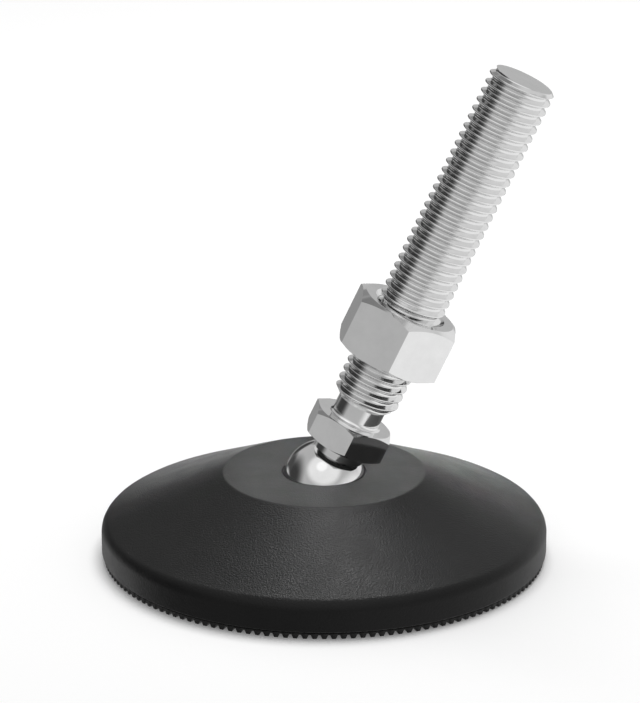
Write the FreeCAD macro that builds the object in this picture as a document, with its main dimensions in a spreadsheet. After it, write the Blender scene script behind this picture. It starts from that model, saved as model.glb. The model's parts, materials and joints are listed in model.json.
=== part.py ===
"""Articulated levelling foot, 80 mm across, with a ball-ended M12 stud and a lock nut.

The frame is in millimetres, +Z up. The origin is the centre of the sole, on the surface that the foot
stands on. The stud leans towards +X in the XZ plane. Stations along the stud are measured from the
centre of its ball.
"""
import FreeCAD, Part
import math
import os
import Sketcher

# Driving sizes: name, value, what it is
SIZES = [
    ("foot_diameter", 80.0, "outside of the base"),
    ("foot_height", 15.6, "sole to the flat disc on top"),
    ("disc_diameter", 36.2, "flat disc on top of the base"),
    ("shoulder_height", 6.45, "where the cone would meet the wall if it were sharp"),
    ("rim_rounding", 1.5, "radius of the rim"),
    ("skirt_thickness", 3.0, "outer wall of the base"),
    ("roof_thickness", 3.0, "base material over the hollow underside"),
    ("boss_diameter", 22.0, "round boss that holds the socket"),
    ("ring_diameter", 44.0, "inside of the ring rib"),
    ("rib_thickness", 1.6, "ribs and ring rib"),
    ("long_rib_count", 12, "ribs from the boss to the ring"),
    ("short_rib_count", 24, "ribs from the ring to the outer wall"),
    ("ball_diameter", 15.0, "ball of the stud"),
    ("ball_depth", 1.8, "centre of the ball below the disc"),
    ("ball_clearance", 0.05, "ball to socket"),
    ("mouth_chamfer", 0.3, "lead-in at the mouth of the socket"),
    ("flange_thickness", 1.2, "pad under the wall of the base"),
    ("flange_inset", 0.4, "pad edge behind the wall of the base"),
    ("seat_height", 3.0, "top of the pad inside the base"),
    ("seat_clearance", 0.1, "pad to the inside of the wall"),
    ("tooth_count", 150, "teeth around the pad"),
    ("tooth_height", 0.7, "depth of the grooves between teeth"),
    ("tooth_length", 5.2, "radial length of the teeth"),
    ("groove_mouth", 1.0, "width of a groove at the floor"),
    ("groove_root", 0.35, "width of a groove at its top"),
    ("tilt_angle", 25.0, "lean of the stud, in degrees"),
    ("neck_diameter", 9.4, "neck between ball and hexagon"),
    ("hexagon_width", 14.0, "across the spanner flats"),
    ("hexagon_station", 7.8, "ball centre to the near side of the hexagon"),
    ("hexagon_height", 5.2, "along the stud"),
    ("hexagon_land", 13.8, "round land left on each side of the hexagon by its chamfer"),
    ("shank_diameter", 8.9, "plain neck between hexagon and thread"),
    ("shank_root", 0.7, "small cone where the plain neck meets the hexagon"),
    ("runout_station", 16.3, "ball centre to the foot of the thread's run-out cone"),
    ("thread_station", 17.8, "ball centre to the first full thread"),
    ("thread_diameter", 12.0, "over the thread"),
    ("stud_reach", 81.7, "ball centre to the end of the stud"),
    ("end_chamfer", 1.0, "at the end of the thread"),
    ("nut_width", 18.0, "across the flats of the lock nut"),
    ("nut_height", 10.5, "lock nut"),
    ("nut_land", 16.8, "round land left on each side of the nut by its chamfer"),
    ("nut_station", 25.45, "ball centre to the underside of the lock nut"),
    ("nut_clearance", 0.05, "nut bore to the thread, radial"),
    ("nut_countersink", 0.6, "at both ends of the bore"),
    ("chamfer_slope", 30.0, "corner chamfer of hexagon and nut, in degrees"),
]

CUT_MARGIN = 2.0  # how far a cutting profile runs past the solid
CONE_SLOPE = "(({foot_height} - {shoulder_height}) / ({foot_diameter} / 2 - {disc_diameter} / 2))"

doc = FreeCAD.newDocument("levelling_foot")


def make_sheet():
    """The driving sizes, one row each: name, value, note."""
    sheet = doc.addObject("Spreadsheet::Sheet", "Sizes")
    for row, (name, value, note) in enumerate(SIZES, start=1):
        sheet.set(f"A{row}", name)
        sheet.set(f"B{row}", str(value))
        sheet.set(f"C{row}", note)
        sheet.setAlias(f"B{row}", name)
    doc.recompute()
    return sheet


def number(name):
    """The value of one size on the sheet."""
    return float(doc.Sizes.get(name))


def of_sheet(text):
    """An expression on the sheet's names: every {name} becomes that cell."""
    return text.replace("{", "Sizes.").replace("}", "")


def new_body(label):
    body = doc.addObject("PartDesign::Body", label)
    body.Label = label
    return body


def origin_part(body, role):
    """One of the body's own origin planes or axes, such as XZ_Plane or Z_Axis."""
    return next(f for f in body.Origin.OriginFeatures if f.Role == role)


def bulge(start, end, radius):
    """The arc of this radius that runs counter-clockwise from start to end."""
    chord = end - start
    left = FreeCAD.Vector(-chord.y, chord.x, 0).normalize()
    centre = (start + end) / 2 + left * math.sqrt(radius ** 2 - chord.Length ** 2 / 4)
    return Part.Arc(start, centre - left * radius, end)


def outline(body, name, role, corners, arcs=()):
    """A closed sketch. Each corner is a pair of expressions for its two coordinates.

    Arcs are (corner, radius): the side that starts at this corner is an arc and not a straight line.
    """
    sketch = body.newObject("Sketcher::SketchObject", name)
    sketch.AttachmentSupport = (origin_part(body, role), [""])
    sketch.MapMode = "FlatFace"
    count = len(corners)
    spots = [FreeCAD.Vector(*(float(sketch.evalExpression(of_sheet(text))) for text in corner), 0)
             for corner in corners]
    radii = dict(arcs)
    for i in range(count):
        start, end = spots[i], spots[(i + 1) % count]
        straight = i not in radii
        side = Part.LineSegment(start, end) if straight else bulge(start, end, number(radii[i]))
        sketch.addGeometry(side, False)
    for i, (across, along) in enumerate(corners):
        sketch.addConstraint(Sketcher.Constraint("Coincident", i, 2, (i + 1) % count, 1))
        bind(sketch, across, "DistanceX", i, 1, spots[i].x)
        bind(sketch, along, "DistanceY", i, 1, spots[i].y)
    for i, name in radii.items():
        bind(sketch, f"{{{name}}}", "Radius", i, number(name))
    doc.recompute()
    return sketch


def bind(sketch, text, *constraint):
    """Adds a constraint and ties its value to an expression."""
    index = sketch.addConstraint(Sketcher.Constraint(*constraint))
    sketch.setExpression(f"Constraints[{index}]", of_sheet(text))


def revolve(body, name, sketch, kind="PartDesign::Revolution"):
    feature = body.newObject(kind, name)
    feature.Profile = sketch
    feature.ReferenceAxis = (sketch, ["V_Axis"])
    feature.Angle = 360.0
    doc.recompute()
    return feature


def cut_round(body, name, corners):
    """A cut turned around the body's Z axis."""
    return revolve(body, name, outline(body, name + "Profile", "XZ_Plane", corners), "PartDesign::Groove")


def repeat(body, name, feature, count):
    """Copies of the feature all the way round the body's Z axis."""
    pattern = body.newObject("PartDesign::PolarPattern", name)
    pattern.Originals = [feature]
    pattern.Axis = (origin_part(body, "Z_Axis"), [""])
    pattern.Angle = 360.0
    pattern.setExpression("Occurrences", of_sheet(count))
    body.Tip = pattern
    doc.recompute()
    return pattern


def slab(body, name, sketch, thickness, kind="PartDesign::Pad"):
    """A pad or pocket of the sketch, half its thickness to each side of the sketch's plane."""
    feature = body.newObject(kind, name)
    feature.Profile = sketch
    feature.SideType = "Symmetric"
    feature.setExpression("Length", of_sheet(thickness))
    doc.recompute()
    return feature


def hexagon(body, name, width, station, height):
    """A hexagon pad with two flats square to X, from station along Z."""
    corners = []
    for k in range(6):
        corner = f"{{{width}}} / (2 * cos(30 deg))"
        corners.append((f"{corner} * cos({30 + 60 * k} deg)", f"{corner} * sin({30 + 60 * k} deg)"))
    sketch = outline(body, name + "Profile", "XY_Plane", corners)
    sketch.setExpression("AttachmentOffset.Base.z", of_sheet(station))
    pad = body.newObject("PartDesign::Pad", name)
    pad.Profile = sketch
    pad.setExpression("Length", of_sheet(height))
    doc.recompute()
    return pad


def chamfer_corners(body, name, width, land, face, side):
    """Turns the corners of a hexagon off to a cone that starts on the end face. Side is +1 for the far end."""
    outer = f"({{{width}}} / (2 * cos(30 deg)) + {CUT_MARGIN})"
    drop = f"({outer} - {{{land}}} / 2) * tan({{chamfer_slope}} * 1 deg)"
    sign = "-" if side > 0 else "+"
    return cut_round(body, name, [
        (f"{{{land}}} / 2", face),
        (outer, face),
        (outer, f"{face} {sign} {drop}"),
    ])


def place(body, station):
    """Stands a body on the leaning axis of the stud, its origin at a station from the ball's centre."""
    body.Placement.Rotation = FreeCAD.Rotation(FreeCAD.Vector(0, 1, 0), 0)
    body.setExpression("Placement.Rotation.Angle", of_sheet("{tilt_angle} * 1 deg"))
    body.setExpression("Placement.Base.x", of_sheet(f"{station} * sin({{tilt_angle}} * 1 deg)"))
    body.setExpression("Placement.Base.z", of_sheet(
        f"{{foot_height}} - {{ball_depth}} + {station} * cos({{tilt_angle}} * 1 deg)"))
    doc.recompute()


def roof(radius, share=1.0):
    """Height of the underside of the cone at a radius, or of a level that is a share of the roof's depth."""
    return f"{{foot_height}} - {share} * {{roof_thickness}} - ({radius} - {{disc_diameter}} / 2) * {CONE_SLOPE}"


def make_base_plate():
    """The moulded base: disc, cone and rim on top, ribs underneath, and the ball socket."""
    body = new_body("base_plate")
    edge, wall = "{foot_diameter} / 2", "({foot_diameter} / 2 - {skirt_thickness})"
    disc, boss = "{disc_diameter} / 2", "{boss_diameter} / 2"
    ring, ring_back = "{ring_diameter} / 2", "({ring_diameter} / 2 + {rib_thickness})"
    ring_middle = "({ring_diameter} / 2 + {rib_thickness} / 2)"
    skirt_middle = "({foot_diameter} / 2 - {skirt_thickness} / 2)"
    below = f"{{seat_height}} - {CUT_MARGIN}"
    ceiling, inside_roof = "{foot_height} - {roof_thickness}", "{foot_height} - 0.5 * {roof_thickness}"

    cone = f"atan({CONE_SLOPE})"
    rim = f"{{rim_rounding}} * tan((90 deg - {cone}) / 2)"
    revolve(body, "Shell", outline(body, "ShellProfile", "XZ_Plane", [
        ("0", "{seat_height}"),
        (wall, "{seat_height}"),
        (wall, "{flange_thickness}"),
        (edge, "{flange_thickness}"),
        (edge, f"{{shoulder_height}} - {rim}"),
        (f"{edge} - {rim} * cos({cone})", f"{{shoulder_height}} + {rim} * sin({cone})"),
        (disc, "{foot_height}"),
        ("0", "{foot_height}"),
    ], [(4, "rim_rounding")]))

    cut_round(body, "InnerHollow", [
        (boss, below), (ring, below), (ring, roof(ring)), (disc, ceiling), (boss, ceiling)])
    cut_round(body, "OuterHollow", [
        (ring_back, below), (wall, below), (wall, roof(wall)), (ring_back, roof(ring_back))])

    boss_inside = "({boss_diameter} / 2 - {rib_thickness} / 2)"
    ribs = (
        ("LongRib", "{long_rib_count}", [
            (boss_inside, "{seat_height}"), (ring_middle, "{seat_height}"),
            (ring_middle, roof(ring_middle, 0.5)), (disc, inside_roof), (boss_inside, inside_roof)]),
        ("ShortRib", "{short_rib_count}", [
            (ring_middle, "{seat_height}"), (skirt_middle, "{seat_height}"),
            (skirt_middle, roof(skirt_middle, 0.5)), (ring_middle, roof(ring_middle, 0.5))]),
    )
    for name, count, corners in ribs:
        sketch = outline(body, name + "Profile", "XZ_Plane", corners)
        rib = slab(body, name, sketch, "{rib_thickness}")
        repeat(body, name + "s", rib, count)

    socket = body.newObject("PartDesign::SubtractiveSphere", "Socket")
    socket.setExpression("Radius", of_sheet("{ball_diameter} / 2 + {ball_clearance}"))
    socket.setExpression("Placement.Base.z", of_sheet("{foot_height} - {ball_depth}"))
    doc.recompute()
    mouth = ("(sqrt(({ball_diameter} / 2 + {ball_clearance}) ^ 2 - {ball_depth} ^ 2)"
             f" + {{mouth_chamfer}} + {CUT_MARGIN})")
    top = f"{{foot_height}} + {CUT_MARGIN}"
    cut_round(body, "Mouth", [("0", top), (mouth, top), ("0", f"{top} - {mouth}")])
    return body


def make_anti_slip_pad():
    """The rubber pad: a plate inside the base, a flange under its wall and teeth between radial grooves."""
    body = new_body("anti_slip_pad")
    rim = "({foot_diameter} / 2 - {flange_inset})"
    spigot = "({foot_diameter} / 2 - {skirt_thickness} - {seat_clearance})"

    revolve(body, "Plate", outline(body, "PlateProfile", "XZ_Plane", [
        ("0", "0"), (rim, "0"), (rim, "{flange_thickness}"),
        (spigot, "{flange_thickness}"), (spigot, "{seat_height}"), ("0", "{seat_height}")]))

    sketch = outline(body, "GrooveProfile", "YZ_Plane", [
        ("-{groove_mouth} / 2", "0"), ("{groove_mouth} / 2", "0"),
        ("{groove_root} / 2", "{tooth_height}"), ("-{groove_root} / 2", "{tooth_height}")])
    sketch.setExpression("AttachmentOffset.Base.z", of_sheet(f"{rim} - {{tooth_length}}"))
    groove = body.newObject("PartDesign::Pocket", "Groove")
    groove.Profile = sketch
    groove.Reversed = True
    groove.setExpression("Length", of_sheet(f"{{tooth_length}} + {CUT_MARGIN}"))
    doc.recompute()
    repeat(body, "Teeth", groove, "{tooth_count}")
    return body


def make_ball_stud():
    """One turned piece: ball, neck, hexagon, plain shank, thread over its crests, chamfered end."""
    body = new_body("ball_stud")
    neck, shank, thread = "{neck_diameter} / 2", "{shank_diameter} / 2", "{thread_diameter} / 2"
    near, far = "{hexagon_station}", "{hexagon_station} + {hexagon_height}"
    middle, root = "{hexagon_station} + {hexagon_height} / 2", f"{shank} + {{shank_root}}"

    ball = body.newObject("PartDesign::AdditiveSphere", "Ball")
    ball.setExpression("Radius", of_sheet("{ball_diameter} / 2"))
    revolve(body, "Shank", outline(body, "ShankProfile", "XZ_Plane", [
        ("0", "0"), (neck, "0"), (neck, middle), (root, middle), (root, far),
        (shank, f"{far} + {{shank_root}}"), (shank, "{runout_station}"),
        (thread, "{thread_station}"), (thread, "{stud_reach} - {end_chamfer}"),
        (thread + " - {end_chamfer}", "{stud_reach}"), ("0", "{stud_reach}")]))
    hexagon(body, "Hexagon", "hexagon_width", near, "{hexagon_height}")
    chamfer_corners(body, "HexagonNearChamfer", "hexagon_width", "hexagon_land", near, -1)
    chamfer_corners(body, "HexagonFarChamfer", "hexagon_width", "hexagon_land", far, 1)
    place(body, "0")
    return body


def make_lock_nut():
    """Hexagon nut, chamfered on both sides, with a countersunk bore that clears the thread's crests."""
    body = new_body("lock_nut")
    hexagon(body, "Hexagon", "nut_width", "0", "{nut_height}")
    chamfer_corners(body, "NearChamfer", "nut_width", "nut_land", "0", -1)
    chamfer_corners(body, "FarChamfer", "nut_width", "nut_land", "{nut_height}", 1)
    bore = "({thread_diameter} / 2 + {nut_clearance})"
    sink = f"({bore} + {{nut_countersink}} + {CUT_MARGIN})"
    cut_round(body, "Bore", [
        ("0", f"-{CUT_MARGIN}"), (sink, f"-{CUT_MARGIN}"), (bore, "{nut_countersink}"),
        (bore, "{nut_height} - {nut_countersink}"), (sink, f"{{nut_height}} + {CUT_MARGIN}"),
        ("0", f"{{nut_height}} + {CUT_MARGIN}")])
    place(body, "{nut_station}")
    return body


def check(bodies):
    """Stops if any object failed or any piece is not one valid solid."""
    for item in doc.Objects:
        if "Invalid" in item.State or "Error" in item.State:
            raise RuntimeError(f"{item.Name} failed: {item.State}")
    for body in bodies:
        shape = body.Shape
        if shape.isNull() or not shape.isValid() or len(shape.Solids) != 1:
            raise RuntimeError(f"{body.Label} is not one valid solid")


def main():
    make_sheet()
    bodies = [make_base_plate(), make_anti_slip_pad(), make_ball_stud(), make_lock_nut()]
    doc.recompute()
    check(bodies)
    os.makedirs("parts", exist_ok=True)
    for body in bodies:
        body.Shape.exportStep(f"parts/{body.Label}.step")
        box = body.Shape.BoundBox
        print(f"{body.Label}: {body.Shape.Volume:.1f} mm3, x {box.XMin:.2f} to {box.XMax:.2f},"
              f" z {box.ZMin:.2f} to {box.ZMax:.2f}, {len(body.Shape.Faces)} faces")


main()
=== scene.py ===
"""Looks of an articulated levelling foot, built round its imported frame.

Everything is in metres, +Z up, with the origin under the middle of the base. The stud and its nut are
modelled upright, with the centre of the ball at the origin, and are then leant onto the stud's axis.
"""
import json
import math

import bmesh
import bpy
from mathutils import Matrix, Vector


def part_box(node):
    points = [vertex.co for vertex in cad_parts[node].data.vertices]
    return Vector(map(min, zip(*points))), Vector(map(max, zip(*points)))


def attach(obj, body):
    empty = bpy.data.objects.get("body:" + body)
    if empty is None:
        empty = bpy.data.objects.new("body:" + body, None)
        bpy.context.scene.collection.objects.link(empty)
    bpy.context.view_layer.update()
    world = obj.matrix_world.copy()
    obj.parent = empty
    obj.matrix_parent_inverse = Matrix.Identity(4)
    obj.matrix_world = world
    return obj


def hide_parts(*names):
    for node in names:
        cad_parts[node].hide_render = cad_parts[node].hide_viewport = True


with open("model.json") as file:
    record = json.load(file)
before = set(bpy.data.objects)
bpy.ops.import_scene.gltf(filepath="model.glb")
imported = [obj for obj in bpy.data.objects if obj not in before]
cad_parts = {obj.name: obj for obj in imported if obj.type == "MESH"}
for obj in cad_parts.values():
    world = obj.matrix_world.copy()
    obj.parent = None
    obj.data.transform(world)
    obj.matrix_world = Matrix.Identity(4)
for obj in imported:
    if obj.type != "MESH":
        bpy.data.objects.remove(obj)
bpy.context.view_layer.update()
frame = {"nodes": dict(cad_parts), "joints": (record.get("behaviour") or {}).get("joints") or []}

bl_info = {
    "name": "Levelling foot",
    "version": (1, 0, 0),
    "blender": (4, 5, 0),
    "location": "View3D > Sidebar > Levelling foot",
    "description": "Builds the plastic base, rubber pad, ball stud and lock nut of a levelling foot",
    "category": "Object",
}

MM = 0.001
WELD = 1e-6  # points closer than this are one point
SUNK = 0.02 * MM  # how far a face lies inside the form it is joined to
OVERLAP = 1.0 * MM  # how far a form runs into what it joins, or past what it cuts
TURN = 2 * math.pi
TURNED_STEPS = 144  # facets round a turned form
MOULDED_STEPS = 192  # facets round the base and its socket
THREAD_STEPS = 60  # facets round one turn of the thread
SMOOTH_ANGLE = math.radians(38)
THREAD_FLANK = math.radians(30)
CORNER_CHAMFER = math.radians(30)  # of the spanner hexagon and the nut

JOINTS = {joint["name"]: joint for joint in frame["joints"]}
BALL_CENTRE = Vector(JOINTS["stud_tilt"]["pos_m"])
STUD_AXIS = Vector(JOINTS["nut_travel"]["axis"]).normalized()
LEAN = math.atan2(STUD_AXIS.x, STUD_AXIS.z)
ONTO_STUD_AXIS = Matrix.Translation(BALL_CENTRE) @ Matrix.Rotation(LEAN, 4, "Y")
FOOT_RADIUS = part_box("base_plate")[1].x
FOOT_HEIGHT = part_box("base_plate")[1].z
WALL_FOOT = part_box("base_plate")[0].z
PAD_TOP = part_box("anti_slip_pad")[1].z

# The camera, as fitted to the photo
PHOTO_SIZE = (640, 703)
FOCAL_PIXELS = 3636.7
SENSOR_WIDTH = 36.0
CAMERA_PLACE = (-0.000728, -0.6094, 0.24676)
CAMERA_TILT = math.radians(71.107)  # 90 degrees would look level


def length(name, default, description):
    """A size that a user may change, in metres."""
    return bpy.props.FloatProperty(
        name=name, description=description, default=default * MM, min=0.0, unit="LENGTH", precision=5)


def colour(name, grey, description):
    """A colour that a user may change, with a neutral grey as its default."""
    return bpy.props.FloatVectorProperty(
        name=name, description=description, default=(grey, grey, grey), size=3,
        min=0.0, max=1.0, subtype="COLOR")


class LevellingFootSizes(bpy.types.PropertyGroup):
    """Sizes along and across the stud and the nut. Stations count from the centre of the ball."""
    ball_diameter: length("Ball", 15.0, "Ball of the stud")
    neck_diameter: length("Neck", 9.4, "Neck between the ball and the hexagon")
    hexagon_width: length("Hexagon", 14.0, "Across the spanner flats of the stud")
    hexagon_station: length("Hexagon station", 7.8, "Near side of the hexagon")
    hexagon_height: length("Hexagon height", 5.2, "Hexagon along the stud")
    hexagon_land: length("Hexagon land", 13.8, "Round land inside the hexagon's chamfers")
    shank_diameter: length("Shank", 8.9, "Plain neck between hexagon and thread")
    shank_fillet: length("Shank fillet", 0.7, "Where the plain neck meets the hexagon")
    runout_station: length("Run-out station", 16.3, "Foot of the thread's run-out cone")
    thread_station: length("Thread station", 17.8, "First full thread")
    thread_diameter: length("Thread", 12.0, "Over the crests of the thread")
    thread_pitch: length("Pitch", 1.75, "From one crest to the next")
    thread_depth: length("Depth", 0.88, "From the crests of the thread to its roots")
    crest_flat: length("Crest", 0.25, "Width of a crest")
    thread_phase: length("Thread phase", 0.9, "Station of a crest on the leaning side, within a pitch")
    stud_reach: length("Reach", 81.7, "End of the stud")
    end_chamfer: length("End chamfer", 0.6, "At the end of the thread")
    nut_width: length("Nut", 18.0, "Across the flats of the lock nut")
    nut_height: length("Nut height", 10.5, "Lock nut along the stud")
    nut_land: length("Nut land", 16.8, "Round land inside the nut's chamfers")
    nut_station: length("Nut station", 25.45, "Underside of the lock nut")
    nut_clearance: length("Nut clearance", 0.05, "Between the two threads")
    nut_countersink: length("Countersink", 0.6, "At both ends of the nut's bore")


class LevellingFootBaseSizes(bpy.types.PropertyGroup):
    """Sizes of the moulded base, apart from those that the frame gives."""
    disc_diameter: length("Disc", 36.2, "Flat disc on top")
    shoulder_height: length("Shoulder", 6.45, "Where the cone would meet the wall if it were sharp")
    rim_rounding: length("Rim", 1.5, "Radius of the rim")
    disc_rounding: length("Disc edge", 0.25, "Softening where the cone meets the disc")
    edge_softening: length("Edges", 0.3, "Softening at the foot of the wall and the mouth of the socket")
    skirt_thickness: length("Skirt", 3.0, "Outer wall")
    roof_thickness: length("Roof", 3.0, "Material over the hollow underside")
    boss_diameter: length("Boss", 22.0, "Boss that holds the socket")
    ring_diameter: length("Ring rib", 44.0, "Inside of the ring rib")
    rib_thickness: length("Ribs", 1.6, "Ribs and ring rib")
    socket_clearance: length("Socket clearance", 0.05, "Between ball and socket")
    long_ribs: bpy.props.IntProperty(
        name="Long ribs", description="From the boss to the ring", default=12, min=0)
    short_ribs: bpy.props.IntProperty(
        name="Short ribs", description="From the ring to the wall", default=24, min=0)


class LevellingFootColours(bpy.types.PropertyGroup):
    """Base colours of the four finishes."""
    plastic: colour("Plastic", 0.011, "Black moulded plastic of the base")
    rubber: colour("Rubber", 0.012, "Black rubber of the pad")
    steel: colour("Steel", 0.80, "Bright steel of the stud and the nut")
    floor: colour("Floor", 0.86, "Pale floor under the foot")


def sizes():
    return bpy.context.scene.levelling_foot_sizes


def base_sizes():
    return bpy.context.scene.levelling_foot_base_sizes


def colours():
    return bpy.context.scene.levelling_foot_colours


# Modelling steps, each as it is done by hand

def clear_selection():
    if bpy.context.mode != "OBJECT":
        bpy.ops.object.mode_set(mode="OBJECT")
    bpy.ops.object.select_all(action="DESELECT")


def pick(piece):
    """Makes a piece the only selected one."""
    clear_selection()
    bpy.context.view_layer.objects.active = piece
    piece.select_set(True)


def edit(piece, action="SELECT"):
    """Opens a piece in edit mode with all of it selected, or none of it."""
    pick(piece)
    bpy.ops.object.mode_set(mode="EDIT")
    bpy.ops.mesh.select_mode(type="VERT")
    bpy.ops.mesh.select_all(action=action)


def close_edit():
    bpy.ops.object.mode_set(mode="OBJECT")


def take_new(name):
    """Names the piece that a primitive operator just added, and moves its place into its mesh."""
    piece = bpy.context.object
    piece.name = name
    piece.data.name = name
    bpy.ops.object.transform_apply(location=True, rotation=True, scale=True)
    return piece


def apply_modifier(piece, modifier):
    pick(piece)
    bpy.ops.object.modifier_apply(modifier=modifier.name)


def draw_outline(name, corners, roundings=()):
    """An outline in the XZ plane. Corners are (radius, height), and roundings are (corner, radius)."""
    clear_selection()
    first = corners[0]
    bpy.ops.mesh.primitive_plane_add(size=MM, location=(first[0], 0, first[1]))
    piece = take_new(name)
    edit(piece)
    bpy.ops.mesh.merge(type="CENTER")
    for start, end in zip(corners, corners[1:]):
        step = (end[0] - start[0], 0, end[1] - start[1])
        bpy.ops.mesh.extrude_vertices_move(TRANSFORM_OT_translate={"value": step})
    for corner, radius in roundings:
        round_corner(piece, corners[corner], radius)
    close_edit()
    return piece


def round_corner(piece, corner, radius, segments=4):
    """Rounds the one corner of an outline that stands at this radius and height."""
    bpy.ops.mesh.select_all(action="DESELECT")
    mesh = bmesh.from_edit_mesh(piece.data)
    place = Vector((corner[0], 0, corner[1]))
    for vertex in mesh.verts:
        vertex.select = (vertex.co - place).length < WELD
    bmesh.update_edit_mesh(piece.data)
    bpy.ops.mesh.bevel(offset=radius, segments=segments, affect="VERTICES")


def weld_and_face_outwards():
    bpy.ops.mesh.select_all(action="SELECT")
    bpy.ops.mesh.remove_doubles(threshold=WELD)
    bpy.ops.mesh.normals_make_consistent(inside=False)


def turn(name, corners, roundings=(), steps=TURNED_STEPS):
    """A closed form turned about Z from an outline that starts and ends on the axis."""
    piece = draw_outline(name, corners, roundings)
    edit(piece)
    bpy.ops.mesh.spin(steps=steps, angle=TURN, center=(0, 0, 0), axis=(0, 0, 1))
    weld_and_face_outwards()
    close_edit()
    return piece


def combine(piece, other, operation):
    """UNION, DIFFERENCE or INTERSECT of two closed pieces. The second one is used up."""
    modifier = piece.modifiers.new(operation.title(), "BOOLEAN")
    modifier.operation = operation
    modifier.solver = "MANIFOLD"
    modifier.object = other
    apply_modifier(piece, modifier)
    used = other.data
    bpy.data.objects.remove(other)
    bpy.data.meshes.remove(used)
    return piece


def hexagon(name, width, low, high, land, corner_rounding, land_rounding):
    """A hexagon along Z, two flats square to X, its corners turned off at 30 degrees to a round land."""
    clear_selection()
    corner = width / 2 / math.cos(TURN / 12)
    bpy.ops.mesh.primitive_cylinder_add(
        vertices=6, radius=corner, depth=high - low, location=(0, 0, (low + high) / 2))
    piece = take_new(name)
    edit(piece, "DESELECT")
    mesh = bmesh.from_edit_mesh(piece.data)
    for edge in mesh.edges:
        run = (edge.verts[0].co - edge.verts[1].co).normalized()
        edge.select = abs(run.z) > 0.99
    bmesh.update_edit_mesh(piece.data)
    bpy.ops.mesh.bevel(offset=corner_rounding, segments=3, affect="EDGES")
    close_edit()
    outer = corner + OVERLAP
    drop = (outer - land / 2) * math.tan(CORNER_CHAMFER)
    drum = turn(name + "_drum", [
        (0, low), (land / 2, low), (outer, low + drop),
        (outer, high - drop), (land / 2, high), (0, high)], [(1, land_rounding), (4, land_rounding)])
    return combine(piece, drum, "INTERSECT")


def threaded_rod(name, low, high, growth=0.0):
    """A rod with the thread's full helix on it, cut square at both ends. Growth makes it larger all round."""
    size = sizes()
    pitch = size.thread_pitch
    crest = size.thread_diameter / 2 + growth
    root = crest - size.thread_depth
    flank = size.thread_depth * math.tan(THREAD_FLANK)
    crest_flat = size.crest_flat + growth * math.tan(THREAD_FLANK)
    root_flat = pitch - crest_flat - 2 * flank
    spare_turns = 2
    start = low - spare_turns * pitch
    start += (size.thread_phase - start - pitch / 2) % pitch - pitch
    corners = [(root, start), (root, start + root_flat / 2), (crest, start + root_flat / 2 + flank),
               (crest, start + root_flat / 2 + flank + crest_flat), (root, start + pitch - root_flat / 2),
               (root, start + pitch)]
    crest_round, root_round = 0.08 * MM, 0.11 * MM
    piece = draw_outline(name, corners, [
        (1, root_round), (2, crest_round), (3, crest_round), (4, root_round)])
    screw = piece.modifiers.new("Helix", "SCREW")
    screw.axis = "Z"
    screw.angle = TURN
    screw.screw_offset = pitch
    screw.iterations = math.ceil((high - low) / pitch) + 3 * spare_turns
    screw.steps = THREAD_STEPS
    screw.render_steps = THREAD_STEPS
    apply_modifier(piece, screw)
    edit(piece)
    weld_and_face_outwards()
    cut = {"plane_no": (0, 0, 1), "use_fill": True, "threshold": WELD / 10}
    bpy.ops.mesh.bisect(plane_co=(0, 0, low), clear_inner=True, **cut)
    bpy.ops.mesh.select_all(action="SELECT")
    bpy.ops.mesh.bisect(plane_co=(0, 0, high), clear_outer=True, **cut)
    weld_and_face_outwards()
    close_edit()
    return piece


def finish_piece(piece, material, body, node, placement=None):
    """Leans a piece into place, gives it its finish and lets it stand for its node."""
    if placement is not None:
        piece.data.transform(placement)
    pick(piece)
    bpy.ops.object.shade_smooth_by_angle(angle=SMOOTH_ANGLE)
    flat = piece.modifiers.new("Flat faces stay flat", "WEIGHTED_NORMAL")
    flat.keep_sharp = True
    flat.weight = 90
    apply_modifier(piece, flat)
    piece.data.materials.clear()
    piece.data.materials.append(material)
    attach(piece, body)
    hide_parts(node)


# Finishes

FLOOR_WIDTH = 6.0
FLOOR_SHADE = 0.40  # grey of the floor in scattered light
FLOOR_GLOW = 0.14  # what the floor adds to its lit colour for the camera
MIX_FLOAT_A, MIX_FLOAT_B = 2, 3  # sockets of a Mix node for plain numbers
MIX_COLOUR_A, MIX_COLOUR_B = 6, 7  # sockets of a Mix node for colours


def add_node(tree, kind, **values):
    """A shader node. Values name its input sockets, or else its own settings."""
    node = tree.nodes.new(kind)
    for name, value in values.items():
        socket = node.inputs.get(name.replace("_", " "))
        if socket is not None and not hasattr(node, name):
            socket.default_value = value
        else:
            setattr(node, name, value)
    return node


def new_group(name, inputs, outputs):
    """An empty shader node group with these (name, type, default) inputs and (name, type) outputs."""
    group = bpy.data.node_groups.new(name, "ShaderNodeTree")
    for label, kind, default in inputs:
        socket = group.interface.new_socket(name=label, in_out="INPUT", socket_type=kind)
        socket.default_value = default
    for label, kind in outputs:
        group.interface.new_socket(name=label, in_out="OUTPUT", socket_type=kind)
    return group, group.nodes.new("NodeGroupInput"), group.nodes.new("NodeGroupOutput")


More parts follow.
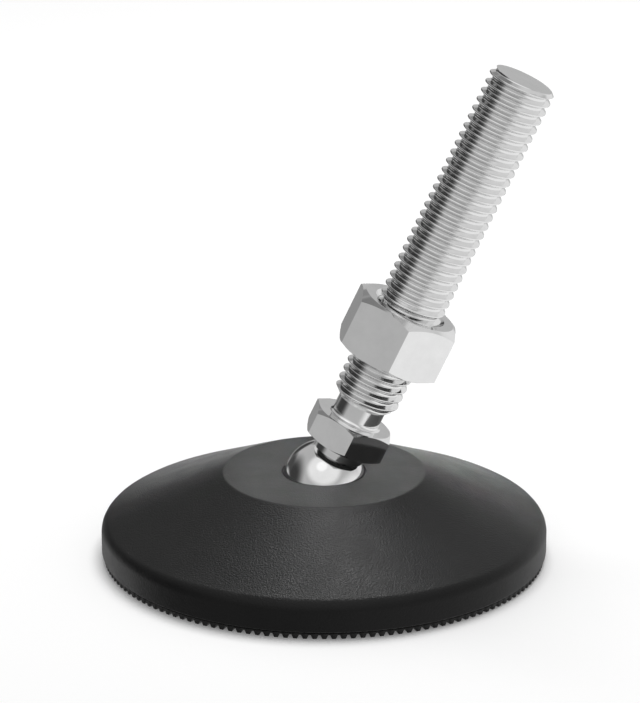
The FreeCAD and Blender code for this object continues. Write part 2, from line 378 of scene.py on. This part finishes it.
def moulded_grain_group():
    """Spark-eroded grain of a moulding: small rounded grains with a slower unevenness under them."""
    group, entry, result = new_group(
        "moulded_grain",
        [("Position", "NodeSocketVector", (0, 0, 0)), ("Grain size", "NodeSocketFloat", 0.4 * MM)],
        [("Height", "NodeSocketFloat"), ("Patches", "NodeSocketFloat")])
    link = group.links.new
    count = add_node(group, "ShaderNodeMath", operation="DIVIDE")
    count.inputs[0].default_value = 1.0
    link(entry.outputs["Grain size"], count.inputs[1])
    grains = add_node(group, "ShaderNodeTexNoise", Detail=2.0, Roughness=0.6)
    link(entry.outputs["Position"], grains.inputs["Vector"])
    link(count.outputs[0], grains.inputs["Scale"])
    slower = add_node(group, "ShaderNodeMath", operation="MULTIPLY")
    slower.inputs[1].default_value = 0.06
    link(count.outputs[0], slower.inputs[0])
    patches = add_node(group, "ShaderNodeTexNoise", Detail=3.0, Roughness=0.5)
    link(entry.outputs["Position"], patches.inputs["Vector"])
    link(slower.outputs[0], patches.inputs["Scale"])
    link(grains.outputs["Fac"], result.inputs["Height"])
    link(patches.outputs["Fac"], result.inputs["Patches"])
    return group


def turning_marks_group():
    """Fine rings that a cutting tool leaves round an axis, broken up by slow patches."""
    group, entry, result = new_group(
        "turning_marks",
        [("Position", "NodeSocketVector", (0, 0, 0)), ("Ring spacing", "NodeSocketFloat", 0.15 * MM)],
        [("Height", "NodeSocketFloat"), ("Patches", "NodeSocketFloat")])
    link = group.links.new
    split = add_node(group, "ShaderNodeSeparateXYZ")
    link(entry.outputs["Position"], split.inputs[0])
    flat = add_node(group, "ShaderNodeCombineXYZ")
    link(split.outputs["X"], flat.inputs["X"])
    link(split.outputs["Y"], flat.inputs["Y"])
    radius = add_node(group, "ShaderNodeVectorMath", operation="LENGTH")
    link(flat.outputs[0], radius.inputs[0])
    ring = add_node(group, "ShaderNodeCombineXYZ")
    link(radius.outputs["Value"], ring.inputs["X"])
    link(split.outputs["Z"], ring.inputs["Z"])
    count = add_node(group, "ShaderNodeMath", operation="DIVIDE")
    count.inputs[0].default_value = 1.0
    link(entry.outputs["Ring spacing"], count.inputs[1])
    rings = add_node(group, "ShaderNodeTexNoise", Detail=2.0, Roughness=0.7)
    link(ring.outputs[0], rings.inputs["Vector"])
    link(count.outputs[0], rings.inputs["Scale"])
    patches = add_node(group, "ShaderNodeTexNoise", Scale=260.0, Detail=4.0, Roughness=0.6)
    link(entry.outputs["Position"], patches.inputs["Vector"])
    link(rings.outputs["Fac"], result.inputs["Height"])
    link(patches.outputs["Fac"], result.inputs["Patches"])
    return group


def shared(name, maker):
    """A node group that is built once and then used again."""
    return bpy.data.node_groups.get(name) or maker()


def new_material(name, base_colour, **shader_values):
    """A material with one Principled shader. Returns the material, its tree and the shader."""
    material = bpy.data.materials.new(name)
    material.use_nodes = True
    shader = material.node_tree.nodes["Principled BSDF"]
    shader.inputs["Base Color"].default_value = (*base_colour, 1)
    for label, value in shader_values.items():
        shader.inputs[label.replace("_", " ")].default_value = value
    return material, material.node_tree, shader


def positions(tree, on_stud=False):
    """Object coordinates, turned upright onto the stud's axis where a pattern follows it."""
    place = add_node(tree, "ShaderNodeTexCoord")
    if not on_stud:
        return place.outputs["Object"]
    moved = add_node(tree, "ShaderNodeMapping", vector_type="TEXTURE")
    moved.inputs["Location"].default_value = BALL_CENTRE
    moved.inputs["Rotation"].default_value = (0, LEAN, 0)
    tree.links.new(place.outputs["Object"], moved.inputs["Vector"])
    return moved.outputs["Vector"]


def vary(tree, mask, low, high):
    """Spreads a mask over a range of values."""
    spread = add_node(tree, "ShaderNodeMapRange")
    spread.inputs["From Min"].default_value = 0.3
    spread.inputs["From Max"].default_value = 0.7
    spread.inputs["To Min"].default_value = low
    spread.inputs["To Max"].default_value = high
    tree.links.new(mask, spread.inputs["Value"])
    return spread.outputs["Result"]


def tint(tree, mask, base_colour, low, high):
    """The base colour made darker or lighter by a mask."""
    factor = vary(tree, mask, low, high)
    scaled = add_node(tree, "ShaderNodeVectorMath", operation="SCALE")
    scaled.inputs[0].default_value = base_colour
    tree.links.new(factor, scaled.inputs["Scale"])
    return scaled.outputs["Vector"]


def bump(tree, height, distance):
    """Normals of a surface that a height mask raises by up to a distance."""
    raised = add_node(tree, "ShaderNodeBump", Strength=1.0, Distance=distance)
    tree.links.new(height, raised.inputs["Height"])
    return raised.outputs["Normal"]


def moulded_material(name, base, specular, grain_size, shades, roughness, grain_depth):
    """A grained moulding. Shades and roughness are (low, high)."""
    material, tree, shader = new_material(name, base, Specular_IOR_Level=specular)
    grain = add_node(tree, "ShaderNodeGroup", node_tree=shared("moulded_grain", moulded_grain_group))
    grain.inputs["Grain size"].default_value = grain_size
    tree.links.new(positions(tree), grain.inputs["Position"])
    patches = grain.outputs["Patches"]
    tree.links.new(tint(tree, patches, base, *shades), shader.inputs["Base Color"])
    tree.links.new(vary(tree, patches, *roughness), shader.inputs["Roughness"])
    tree.links.new(bump(tree, grain.outputs["Height"], grain_depth), shader.inputs["Normal"])
    return material


def plastic_material():
    return moulded_material(
        "black_moulded_plastic", tuple(colours().plastic), specular=0.16, grain_size=0.30 * MM,
        shades=(0.92, 1.08), roughness=(0.34, 0.41), grain_depth=0.08 * MM)


def rubber_material():
    return moulded_material(
        "black_rubber", tuple(colours().rubber), specular=0.3, grain_size=0.25 * MM,
        shades=(0.85, 1.15), roughness=(0.62, 0.72), grain_depth=0.03 * MM)


def steel_material(name, ring_spacing, roughness, mark_depth):
    """Bright steel with the fine rings of the tool that cut it. Roughness is (low, high)."""
    base = tuple(colours().steel)
    material, tree, shader = new_material(name, base, Metallic=1.0)
    marks = add_node(tree, "ShaderNodeGroup", node_tree=shared("turning_marks", turning_marks_group))
    marks.inputs["Ring spacing"].default_value = ring_spacing
    tree.links.new(positions(tree, on_stud=True), marks.inputs["Position"])
    patches = marks.outputs["Patches"]
    tree.links.new(tint(tree, patches, base, 0.95, 1.03), shader.inputs["Base Color"])
    tree.links.new(vary(tree, patches, *roughness), shader.inputs["Roughness"])
    tree.links.new(bump(tree, marks.outputs["Height"], mark_depth), shader.inputs["Normal"])
    return material


def floor_material():
    """Pale floor. For light that is only scattered it is grey, so the sides of the foot stay dark."""
    pale = tuple(colours().floor)
    material, tree, shader = new_material("pale_floor", pale, Roughness=1.0, Specular_IOR_Level=0.0)
    light_path = add_node(tree, "ShaderNodeLightPath")
    shade = add_node(tree, "ShaderNodeMix", data_type="RGBA")
    shade.inputs[MIX_COLOUR_A].default_value = (FLOOR_SHADE, FLOOR_SHADE, FLOOR_SHADE, 1)
    shade.inputs[MIX_COLOUR_B].default_value = (*pale, 1)
    tree.links.new(light_path.outputs["Is Camera Ray"], shade.inputs["Factor"])
    tree.links.new(shade.outputs[2], shader.inputs["Base Color"])
    shader.inputs["Emission Color"].default_value = (1, 1, 1, 1)
    glow = add_node(tree, "ShaderNodeMath", operation="MULTIPLY")
    glow.inputs[1].default_value = FLOOR_GLOW
    tree.links.new(light_path.outputs["Is Camera Ray"], glow.inputs[0])
    tree.links.new(glow.outputs[0], shader.inputs["Emission Strength"])
    return material


# Pieces

def under_roof(radius, share=1.0):
    """Height of the hollow's roof at a radius, or of a level that is a share of the way through the roof."""
    size = base_sizes()
    disc = size.disc_diameter / 2
    slope = (FOOT_HEIGHT - size.shoulder_height) / (FOOT_RADIUS - disc)
    return FOOT_HEIGHT - share * size.roof_thickness - max(0.0, radius - disc) * slope


def rib(inner, outer, angle):
    """A rib between two radii, from the pad's top into the sloping roof, at an angle round the foot."""
    inner_top, outer_top = under_roof(inner, 0.5), under_roof(outer, 0.5)
    middle = Vector(((inner + outer) / 2, 0, (PAD_TOP + outer_top) / 2))
    clear_selection()
    bpy.ops.mesh.primitive_cube_add(
        size=1.0, location=middle, scale=(outer - inner, base_sizes().rib_thickness, outer_top - PAD_TOP))
    piece = take_new("rib")
    edit(piece, "DESELECT")
    mesh = bmesh.from_edit_mesh(piece.data)
    for vertex in mesh.verts:
        vertex.select = vertex.co.x < middle.x and vertex.co.z > middle.z
    bmesh.update_edit_mesh(piece.data)
    bpy.ops.transform.translate(value=(0, 0, inner_top - outer_top))
    close_edit()
    piece.data.transform(Matrix.Rotation(angle, 4, "Z"))
    return piece


def add_ribs(piece, count, inner, outer):
    """Joins ribs all the way round the foot, from one radius to another."""
    for number in range(count):
        combine(piece, rib(inner, outer, TURN * number / count), "UNION")


def cut_socket(piece):
    """Cuts the ball's socket and the lead-in at its mouth."""
    radius = sizes().ball_diameter / 2 + base_sizes().socket_clearance
    clear_selection()
    bpy.ops.mesh.primitive_uv_sphere_add(
        segments=MOULDED_STEPS, ring_count=MOULDED_STEPS // 2, radius=radius, location=(0, 0, BALL_CENTRE.z))
    combine(piece, take_new("socket"), "DIFFERENCE")
    mouth = math.sqrt(radius ** 2 - (FOOT_HEIGHT - BALL_CENTRE.z) ** 2) + base_sizes().edge_softening
    above = FOOT_HEIGHT + OVERLAP
    lead_in = turn("lead_in", [(0, FOOT_HEIGHT - mouth), (mouth + OVERLAP, above), (0, above)])
    combine(piece, lead_in, "DIFFERENCE")


class LEVELLINGFOOT_OT_base(bpy.types.Operator):
    """Models the moulded base: disc, cone and rim on top, ribs underneath, and the ball's socket"""
    bl_idname = "levelling_foot.base"
    bl_label = "Base plate"

    def execute(self, context):
        size = base_sizes()
        disc, ring, boss = size.disc_diameter / 2, size.ring_diameter / 2, size.boss_diameter / 2
        wall, ring_back = FOOT_RADIUS - size.skirt_thickness, ring + size.rib_thickness
        piece = turn("moulded_base", [
            (0, FOOT_HEIGHT), (disc, FOOT_HEIGHT), (FOOT_RADIUS, size.shoulder_height),
            (FOOT_RADIUS, WALL_FOOT), (wall, WALL_FOOT), (wall, under_roof(wall)),
            (ring_back, under_roof(ring_back)), (ring_back, PAD_TOP), (ring, PAD_TOP),
            (ring, under_roof(ring)), (disc, under_roof(disc)), (boss, under_roof(boss)),
            (boss, PAD_TOP), (0, PAD_TOP)],
            [(1, size.disc_rounding), (2, size.rim_rounding), (3, size.edge_softening)], MOULDED_STEPS)
        ring_middle, skirt_middle = (ring + ring_back) / 2, (wall + FOOT_RADIUS) / 2
        add_ribs(piece, size.long_ribs, boss - OVERLAP, ring_middle)
        add_ribs(piece, size.short_ribs, ring_middle, skirt_middle)
        cut_socket(piece)
        finish_piece(piece, plastic_material(), "base", "base_plate")
        for name, *_ in MOULDING_LAMPS:
            context.view_layer.objects.active = bpy.data.objects[name]
            bpy.ops.object.light_linking_receivers_link(link_state="INCLUDE")
        return {"FINISHED"}


def smooth_copy(node, name):
    """A welded copy of a node's mesh, to be shaded smoothly."""
    piece = bpy.data.objects.new(name, frame["nodes"][node].data.copy())
    bpy.context.scene.collection.objects.link(piece)
    edit(piece)
    bpy.ops.mesh.remove_doubles(threshold=WELD)
    close_edit()
    return piece


class LEVELLINGFOOT_OT_pad(bpy.types.Operator):
    """Dresses the rubber pad with its ring of teeth"""
    bl_idname = "levelling_foot.pad"
    bl_label = "Anti-slip pad"

    def execute(self, context):
        piece = smooth_copy("anti_slip_pad", "rubber_pad")
        finish_piece(piece, rubber_material(), "base", "anti_slip_pad")
        return {"FINISHED"}


class LEVELLINGFOOT_OT_stud(bpy.types.Operator):
    """Models the stud: ball, neck, hexagon, plain shank and rolled thread, all one piece"""
    bl_idname = "levelling_foot.stud"
    bl_label = "Ball stud"

    def execute(self, context):
        size = sizes()
        near = size.hexagon_station
        far = near + size.hexagon_height
        neck, shank, crest = size.neck_diameter / 2, size.shank_diameter / 2, size.thread_diameter / 2
        clear_selection()
        bpy.ops.mesh.primitive_uv_sphere_add(
            segments=TURNED_STEPS, ring_count=TURNED_STEPS // 2, radius=size.ball_diameter / 2)
        piece = take_new("threaded_ball_stud")
        inside_hexagon = (near + far) / 2
        shoulder = far - SUNK
        into_thread = (size.runout_station + size.thread_station) / 2
        wide = neck + OVERLAP
        post = turn("post", [
            (0, 0), (neck, 0), (neck, inside_hexagon), (wide, inside_hexagon),
            (wide, shoulder), (shank, shoulder), (shank, into_thread), (0, into_thread)],
            [(5, size.shank_fillet)])
        combine(piece, post, "UNION")
        spanner_hexagon = hexagon(
            "spanner_hexagon", size.hexagon_width, near, far, size.hexagon_land,
            corner_rounding=0.15 * MM, land_rounding=0.1 * MM)
        combine(piece, spanner_hexagon, "UNION")
        end, chamfer = size.stud_reach, size.end_chamfer
        thread = threaded_rod("thread", size.hexagon_station, end + 2 * OVERLAP)
        runout_slope = (size.thread_station - size.runout_station) / (crest - shank)
        foot = shank - size.shank_fillet
        foot_station = size.runout_station - size.shank_fillet * runout_slope
        over, end_softening = crest + OVERLAP, 0.15 * MM
        sleeve = turn("sleeve", [
            (0, foot_station), (foot, foot_station), (over, size.thread_station + OVERLAP * runout_slope),
            (over, end - chamfer - OVERLAP), (crest - chamfer, end), (0, end)], [(4, end_softening)])
        combine(thread, sleeve, "INTERSECT")
        combine(piece, thread, "UNION")
        steel = steel_material(
            "bright_turned_steel", ring_spacing=0.12 * MM, roughness=(0.05, 0.11), mark_depth=0.0016 * MM)
        finish_piece(piece, steel, "stud", "ball_stud", ONTO_STUD_AXIS)
        return {"FINISHED"}


class LEVELLINGFOOT_OT_nut(bpy.types.Operator):
    """Models the lock nut with its inner thread in step with the stud's"""
    bl_idname = "levelling_foot.nut"
    bl_label = "Lock nut"

    def execute(self, context):
        size = sizes()
        low, high = size.nut_station, size.nut_station + size.nut_height
        piece = hexagon(
            "hexagon_lock_nut", size.nut_width, low, high, size.nut_land,
            corner_rounding=0.2 * MM, land_rounding=0.12 * MM)
        mouth = size.thread_diameter / 2 + size.nut_clearance + size.nut_countersink
        drop = size.thread_pitch
        bore = mouth - drop
        countersinks = turn("countersinks", [
            (0, low - OVERLAP), (mouth + OVERLAP, low - OVERLAP), (bore, low + drop),
            (bore, high - drop), (mouth + OVERLAP, high + OVERLAP), (0, high + OVERLAP)])
        combine(piece, countersinks, "DIFFERENCE")
        combine(piece, threaded_rod("tap", low - OVERLAP, high + OVERLAP, size.nut_clearance), "DIFFERENCE")
        steel = steel_material(
            "bright_machined_steel", ring_spacing=0.2 * MM, roughness=(0.06, 0.11), mark_depth=0.0012 * MM)
        finish_piece(piece, steel, "nut", "lock_nut", ONTO_STUD_AXIS)
        return {"FINISHED"}


# Stage

def soft_card_group():
    """Mask of a round card on the sky: 1 towards it, 0 past its soft edge. Both limits are cosines."""
    group, entry, result = new_group(
        "soft_card",
        [("Direction", "NodeSocketVector", (0, 0, 1)), ("Facing", "NodeSocketVector", (0, 0, 1)),
         ("Outside", "NodeSocketFloat", 0.8), ("Inside", "NodeSocketFloat", 0.9)],
        [("Mask", "NodeSocketFloat")])
    link = group.links.new
    near = add_node(group, "ShaderNodeVectorMath", operation="DOT_PRODUCT")
    link(entry.outputs["Direction"], near.inputs[0])
    link(entry.outputs["Facing"], near.inputs[1])
    fade = add_node(group, "ShaderNodeMapRange", interpolation_type="SMOOTHSTEP")
    link(near.outputs["Value"], fade.inputs["Value"])
    link(entry.outputs["Outside"], fade.inputs["From Min"])
    link(entry.outputs["Inside"], fade.inputs["From Max"])
    link(fade.outputs["Result"], result.inputs["Mask"])
    return group


# Softboxes and dark flags that the steel mirrors, each over the ones before it: name, direction, grey,
# radius and soft edge in degrees
STUDIO_CARDS = (
    ("right_floor", (0.70, -0.10, -0.70), 0.96, 42, 30),
    ("front_overhead", (0.00, -0.62, 0.78), 0.95, 34, 18),
    ("front_lamp", (-0.10, -0.50, 0.86), 1.20, 9, 8),
    ("right_overhead", (0.66, 0.30, 0.68), 0.72, 12, 14),
    ("back_right", (0.66, 0.74, 0.12), 0.85, 12, 14),
    ("backdrop", (0.05, 0.93, 0.36), 0.52, 8, 8),
    ("back_right_low", (0.27, 0.94, 0.20), 0.52, 5, 6),
    ("back_left_low", (-0.25, 0.94, -0.21), 0.30, 8, 9),
    ("back_left_flag", (-0.32, 0.93, 0.18), 0.05, 8, 9),
    ("overhead_flag", (0.02, 0.57, 0.82), 0.24, 10, 8),
    ("thread_tips", (-0.06, 0.86, 0.50), 0.28, 6, 7),
    ("left_flag", (-0.95, 0.20, 0.09), 0.05, 12, 34),
    ("far_left_flag", (-0.72, 0.68, 0.04), 0.07, 12, 12),
    ("left_floor", (-0.75, 0.55, -0.36), 1.00, 13, 13),
)
SKY_GREY = 0.52  # what the steel mirrors elsewhere
SKY_LIGHT = 0.34  # scattered light from all round

# The one lamp that lights everything, in the same terms as the next ones
OVERHEAD_SOFTBOX = ("overhead_softbox", (0.07, 0.24, 0.9), 0.55, 6.8)
# Lamps that only the moulded base shows, as a sheen: name, place, width and watts
MOULDING_LAMPS = (
    ("highlight_box", (0.03, 0.38, 0.81), 0.10, 3.1),
    ("disc_box", (0.02, 0.85, 0.31), 0.30, 0.30),
    ("rear_box", (0.09, 0.89, 0.03), 0.30, 0.40),
    ("rear_left_box", (-0.13, 0.89, -0.05), 0.20, 0.13),
)


def mirrored_greys(tree):
    """What shiny surfaces mirror in each direction: the sky's grey with the studio's cards laid over it."""
    direction = add_node(tree, "ShaderNodeTexCoord").outputs["Generated"]
    grey = None
    for name, facing, level, radius, edge in STUDIO_CARDS:
        card = add_node(tree, "ShaderNodeGroup", node_tree=shared("soft_card", soft_card_group))
        card.label = name
        card.inputs["Facing"].default_value = Vector(facing).normalized()
        card.inputs["Inside"].default_value = math.cos(math.radians(radius))
        card.inputs["Outside"].default_value = math.cos(math.radians(radius + edge))
        tree.links.new(direction, card.inputs["Direction"])
        mixed = add_node(tree, "ShaderNodeMix", data_type="FLOAT")
        mixed.inputs[MIX_FLOAT_A].default_value = SKY_GREY
        mixed.inputs[MIX_FLOAT_B].default_value = level
        tree.links.new(card.outputs["Mask"], mixed.inputs["Factor"])
        if grey is not None:
            tree.links.new(grey, mixed.inputs[MIX_FLOAT_A])
        grey = mixed.outputs[0]
    return grey


def build_world():
    """White to the camera, an even soft light, and the studio's cards for what mirrors them."""
    world = bpy.data.worlds.new("studio")
    bpy.context.scene.world = world
    world.use_nodes = True
    tree = world.node_tree
    tree.nodes.clear()
    link = tree.links.new
    mirrored = add_node(tree, "ShaderNodeBackground")
    link(mirrored_greys(tree), mirrored.inputs["Color"])
    light = add_node(tree, "ShaderNodeBackground", Color=(1, 1, 1, 1), Strength=SKY_LIGHT)
    backdrop = add_node(tree, "ShaderNodeBackground", Color=(1, 1, 1, 1))
    path = add_node(tree, "ShaderNodeLightPath")
    by_mirror = add_node(tree, "ShaderNodeMixShader")
    link(path.outputs["Is Glossy Ray"], by_mirror.inputs[0])
    link(light.outputs[0], by_mirror.inputs[1])
    link(mirrored.outputs[0], by_mirror.inputs[2])
    by_camera = add_node(tree, "ShaderNodeMixShader")
    link(path.outputs["Is Camera Ray"], by_camera.inputs[0])
    link(by_mirror.outputs[0], by_camera.inputs[1])
    link(backdrop.outputs[0], by_camera.inputs[2])
    output = add_node(tree, "ShaderNodeOutputWorld")
    link(by_camera.outputs[0], output.inputs["Surface"])


def add_area_light(name, place, width, watts):
    """A soft square lamp that points at the middle of the foot's top."""
    clear_selection()
    bpy.ops.object.light_add(type="AREA", location=place)
    lamp = bpy.context.object
    lamp.name = name
    lamp.data.shape = "SQUARE"
    lamp.data.size = width
    lamp.data.energy = watts
    aim = Vector((0, 0, FOOT_HEIGHT)) - Vector(place)
    lamp.rotation_euler = aim.to_track_quat("-Z", "Y").to_euler()
    return lamp


class LEVELLINGFOOT_OT_stage(bpy.types.Operator):
    """Sets the pale floor, the soft studio light and the camera"""
    bl_idname = "levelling_foot.stage"
    bl_label = "Stage"

    def execute(self, context):
        clear_selection()
        bpy.ops.mesh.primitive_plane_add(size=FLOOR_WIDTH)
        floor = take_new("studio_floor")
        floor.data.materials.append(floor_material())
        floor.visible_glossy = False
        build_world()
        softbox = add_area_light(*OVERHEAD_SOFTBOX)
        softbox.visible_glossy = False
        for row in MOULDING_LAMPS:
            lamp = add_area_light(*row)
            lamp.visible_diffuse = False
            lamp.data.use_shadow = False
            lamp.data.cycles.use_multiple_importance_sampling = False
        clear_selection()
        bpy.ops.object.camera_add(location=CAMERA_PLACE, rotation=(CAMERA_TILT, 0, 0))
        camera = context.object
        camera.name = "photo_camera"
        camera.data.sensor_width = SENSOR_WIDTH
        camera.data.lens = SENSOR_WIDTH * FOCAL_PIXELS / max(PHOTO_SIZE)
        camera.data.clip_start = 0.01
        camera.data.clip_end = 20.0
        context.scene.camera = camera
        context.scene.view_settings.view_transform = "Standard"
        return {"FINISHED"}


class LEVELLINGFOOT_PT_panel(bpy.types.Panel):
    """Lists the pieces of the levelling foot"""
    bl_idname = "LEVELLINGFOOT_PT_panel"
    bl_label = "Levelling foot"
    bl_space_type = "VIEW_3D"
    bl_region_type = "UI"
    bl_category = "Levelling foot"

    def draw(self, context):
        for step in STEPS:
            self.layout.operator(step.bl_idname)
        for group in (sizes(), base_sizes(), colours()):
            box = self.layout.box()
            for name in group.bl_rna.properties.keys():
                if name not in ("rna_type", "name"):
                    box.prop(group, name)


STEPS = (
    LEVELLINGFOOT_OT_stage,
    LEVELLINGFOOT_OT_base,
    LEVELLINGFOOT_OT_pad,
    LEVELLINGFOOT_OT_stud,
    LEVELLINGFOOT_OT_nut,
)
CLASSES = (LevellingFootSizes, LevellingFootBaseSizes, LevellingFootColours, *STEPS, LEVELLINGFOOT_PT_panel)


def register():
    for item in CLASSES:
        bpy.utils.register_class(item)
    bpy.types.Scene.levelling_foot_sizes = bpy.props.PointerProperty(type=LevellingFootSizes)
    bpy.types.Scene.levelling_foot_base_sizes = bpy.props.PointerProperty(type=LevellingFootBaseSizes)
    bpy.types.Scene.levelling_foot_colours = bpy.props.PointerProperty(type=LevellingFootColours)


def unregister():
    del bpy.types.Scene.levelling_foot_colours
    del bpy.types.Scene.levelling_foot_base_sizes
    del bpy.types.Scene.levelling_foot_sizes
    for item in reversed(CLASSES):
        bpy.utils.unregister_class(item)


def main():
    register()
    bpy.ops.levelling_foot.stage()
    bpy.ops.levelling_foot.base()
    bpy.ops.levelling_foot.pad()
    bpy.ops.levelling_foot.stud()
    bpy.ops.levelling_foot.nut()


if __name__ == "__main__":
    main()
